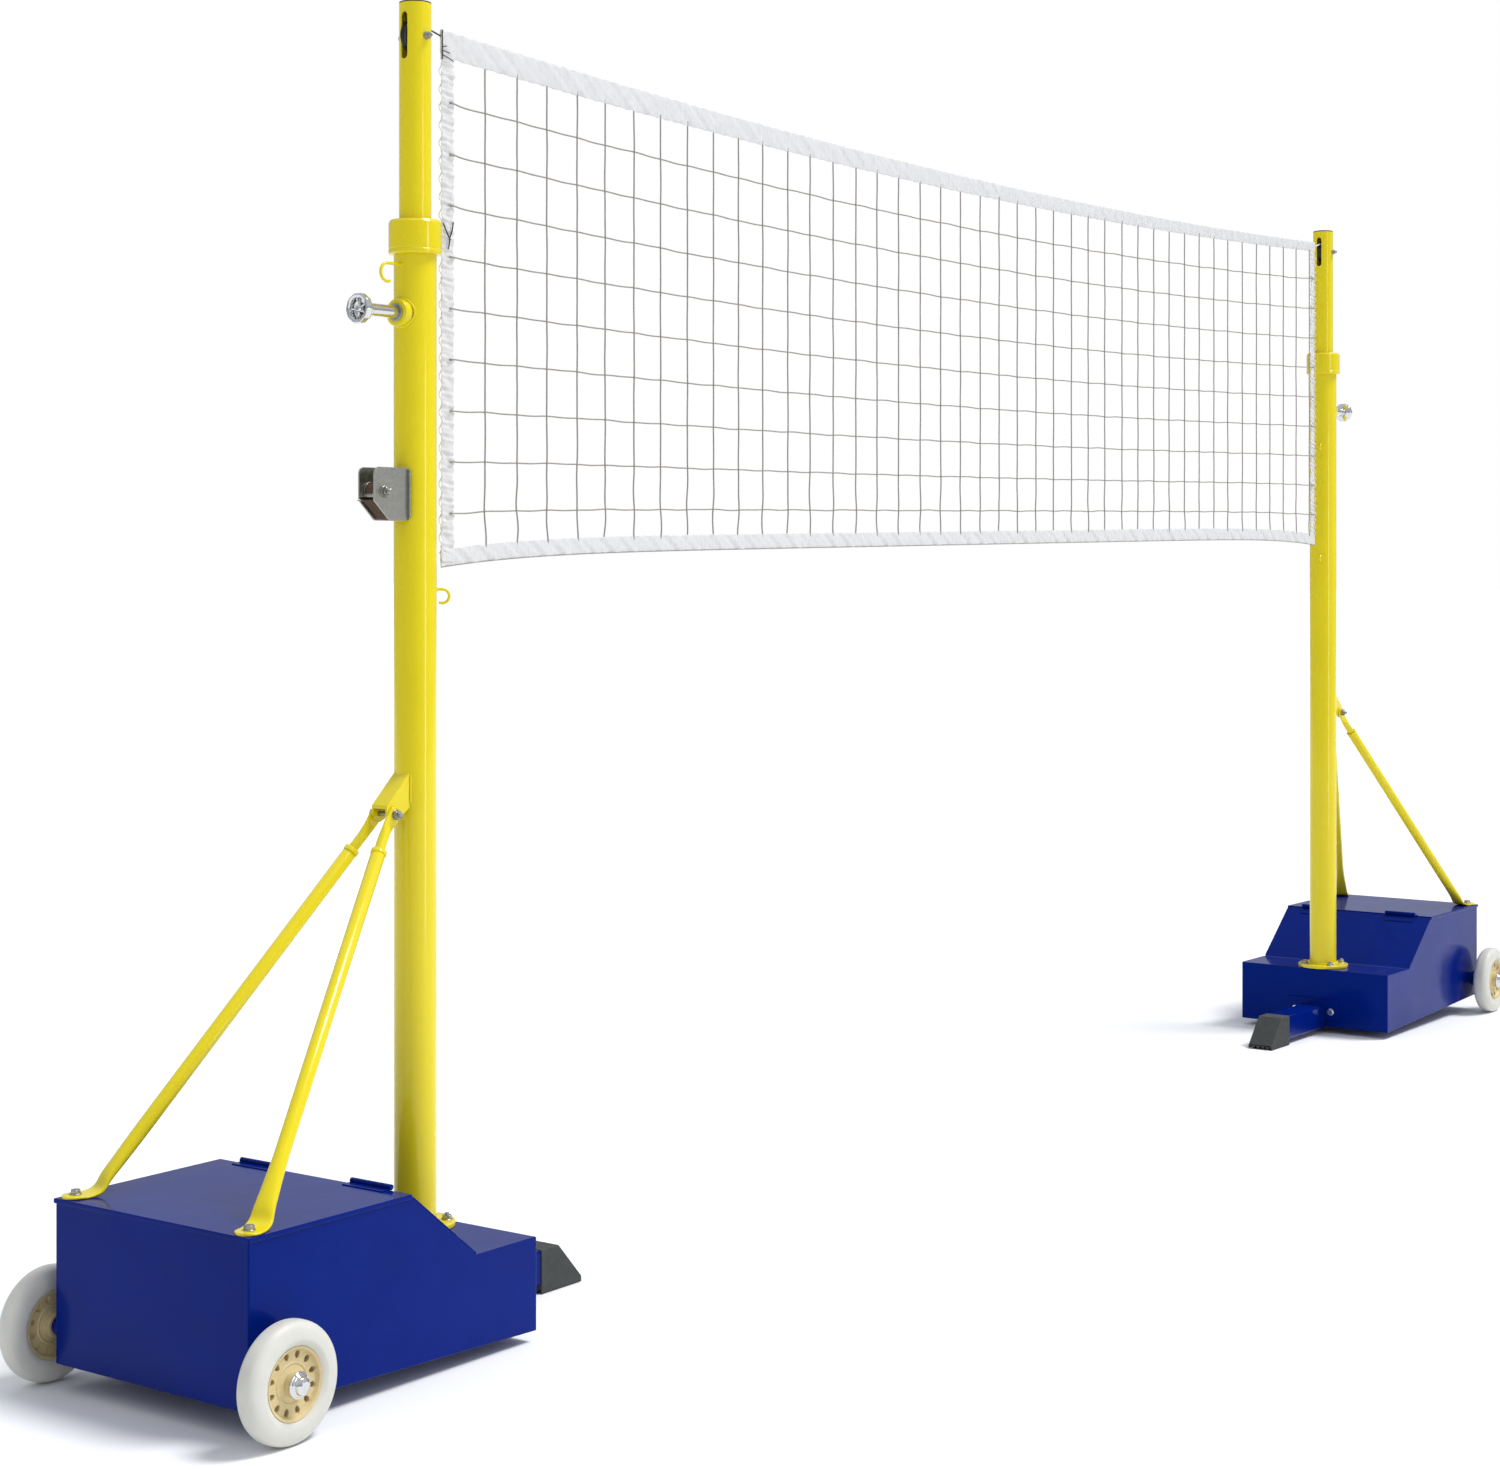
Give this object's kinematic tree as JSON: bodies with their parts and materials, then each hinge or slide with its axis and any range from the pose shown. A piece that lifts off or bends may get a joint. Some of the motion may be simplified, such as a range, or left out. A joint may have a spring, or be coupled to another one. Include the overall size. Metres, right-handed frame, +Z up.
{
  "type": "mobile volleyball net set",
  "caption": "Free-standing volleyball net on strutted telescopic posts that stand on wheeled, ballasted trolleys, with clamp screws, head pulleys and a winch.",
  "frame": {"origin": "on the floor, midway between the posts and in the net's own plane", "axes": "+X along the net from the post with the winch to the other one, +Y across the net, +Z up"},
  "size_m": [5.492, 0.675, 2.485],
  "materials": {
    "yellow_powder_coat": "gloss",
    "blue_powder_coat": "gloss",
    "white_tyre": "satin",
    "cream_nylon": "satin",
    "zinc_plated_steel": "satin",
    "chromed_steel": "polished",
    "cast_iron": "rough",
    "black_rubber": "matte",
    "black_plastic": "satin",
    "net_cord": "matte",
    "white_band": "satin"
  },
  "bodies": {
    "stands": {"trolley_box_left": "blue_powder_coat", "box_lid_left": "blue_powder_coat", "counterweight_left": "cast_iron", "wheel_axle_left": "zinc_plated_steel", "hub_nut_left_near": "chromed_steel", "hub_nut_left_far": "chromed_steel", "outer_post_left": "yellow_powder_coat", "post_collar_left": "yellow_powder_coat", "clamp_boss_left": "yellow_powder_coat", "strut_bracket_left": "yellow_powder_coat", "bracket_bolt_left": "zinc_plated_steel", "strut_left_near": "yellow_powder_coat", "strut_left_far": "yellow_powder_coat", "upper_hook_left": "yellow_powder_coat", "lower_hook_left": "yellow_powder_coat", "foot_arm_left": "blue_powder_coat", "rubber_foot_left": "black_rubber", "trolley_box_right": "blue_powder_coat", "box_lid_right": "blue_powder_coat", "counterweight_right": "cast_iron", "wheel_axle_right": "zinc_plated_steel", "hub_nut_right_near": "chromed_steel", "hub_nut_right_far": "chromed_steel", "outer_post_right": "yellow_powder_coat", "post_collar_right": "yellow_powder_coat", "clamp_boss_right": "yellow_powder_coat", "strut_bracket_right": "yellow_powder_coat", "bracket_bolt_right": "zinc_plated_steel", "strut_right_near": "yellow_powder_coat", "strut_right_far": "yellow_powder_coat", "upper_hook_right": "yellow_powder_coat", "lower_hook_right": "yellow_powder_coat", "foot_arm_right": "blue_powder_coat", "rubber_foot_right": "black_rubber", "winch_bracket": "zinc_plated_steel"},
    "wheel_left_near": {"tyre_left_near": "white_tyre", "hub_left_near": "cream_nylon"},
    "wheel_left_far": {"tyre_left_far": "white_tyre", "hub_left_far": "cream_nylon"},
    "mast_left": {"inner_post_left": "yellow_powder_coat", "post_cap_left": "black_plastic", "pulley_axle_left": "zinc_plated_steel", "net_mesh": "net_cord", "top_band": "white_band", "bottom_band": "white_band", "head_cable_left": "zinc_plated_steel", "head_cable_right": "zinc_plated_steel"},
    "clamp_left": {"clamp_screw_left": "chromed_steel"},
    "sheave_left": {"pulley_left": "black_plastic"},
    "wheel_right_near": {"tyre_right_near": "white_tyre", "hub_right_near": "cream_nylon"},
    "wheel_right_far": {"tyre_right_far": "white_tyre", "hub_right_far": "cream_nylon"},
    "mast_right": {"inner_post_right": "yellow_powder_coat", "post_cap_right": "black_plastic", "pulley_axle_right": "zinc_plated_steel"},
    "clamp_right": {"clamp_screw_right": "chromed_steel"},
    "sheave_right": {"pulley_right": "black_plastic"},
    "winch_drum": {"winch_spool": "zinc_plated_steel", "winch_shaft": "zinc_plated_steel"}
  },
  "joints": [
    {"name": "wheel_left_near_roll", "type": "hinge", "parent": "stands", "child": "wheel_left_near", "pos_m": [-2.6445, -0.295, 0.1015], "axis": [0, 1, 0], "continuous": true},
    {"name": "wheel_left_far_roll", "type": "hinge", "parent": "stands", "child": "wheel_left_far", "pos_m": [-2.6445, 0.295, 0.1015], "axis": [0, 1, 0], "continuous": true},
    {"name": "wheel_right_near_roll", "type": "hinge", "parent": "stands", "child": "wheel_right_near", "pos_m": [2.6445, -0.295, 0.1015], "axis": [0, 1, 0], "continuous": true},
    {"name": "wheel_right_far_roll", "type": "hinge", "parent": "stands", "child": "wheel_right_far", "pos_m": [2.6445, 0.295, 0.1015], "axis": [0, 1, 0], "continuous": true},
    {"name": "mast_left_slide", "type": "slide", "parent": "stands", "child": "mast_left", "axis": [0, 0, 1], "range_m": [-0.26, 0.1]},
    {"name": "mast_right_slide", "type": "slide", "parent": "stands", "child": "mast_right", "axis": [0, 0, 1], "range_m": [-0.26, 0.1]},
    {"name": "clamp_left_turn", "type": "hinge", "parent": "stands", "child": "clamp_left", "pos_m": [-2.0275, 0, 1.9], "axis": [-1, 0, 0], "range_deg": [0, 540]},
    {"name": "clamp_right_turn", "type": "hinge", "parent": "stands", "child": "clamp_right", "pos_m": [2.0275, 0, 1.9], "axis": [1, 0, 0], "range_deg": [0, 540]},
    {"name": "sheave_left_turn", "type": "hinge", "parent": "mast_left", "child": "sheave_left", "pos_m": [-2.0295, 0, 2.419], "axis": [0, 1, 0], "continuous": true},
    {"name": "sheave_right_turn", "type": "hinge", "parent": "mast_right", "child": "sheave_right", "pos_m": [2.0295, 0, 2.386], "axis": [0, 1, 0], "continuous": true},
    {"name": "winch_drum_turn", "type": "hinge", "parent": "stands", "child": "winch_drum", "pos_m": [-2.1295, 0, 1.565], "axis": [0, 1, 0], "continuous": true}
  ],
  "couplings": [
    {"joint": "mast_right_slide", "follows": "mast_left_slide", "ratio": 1}
  ]
}
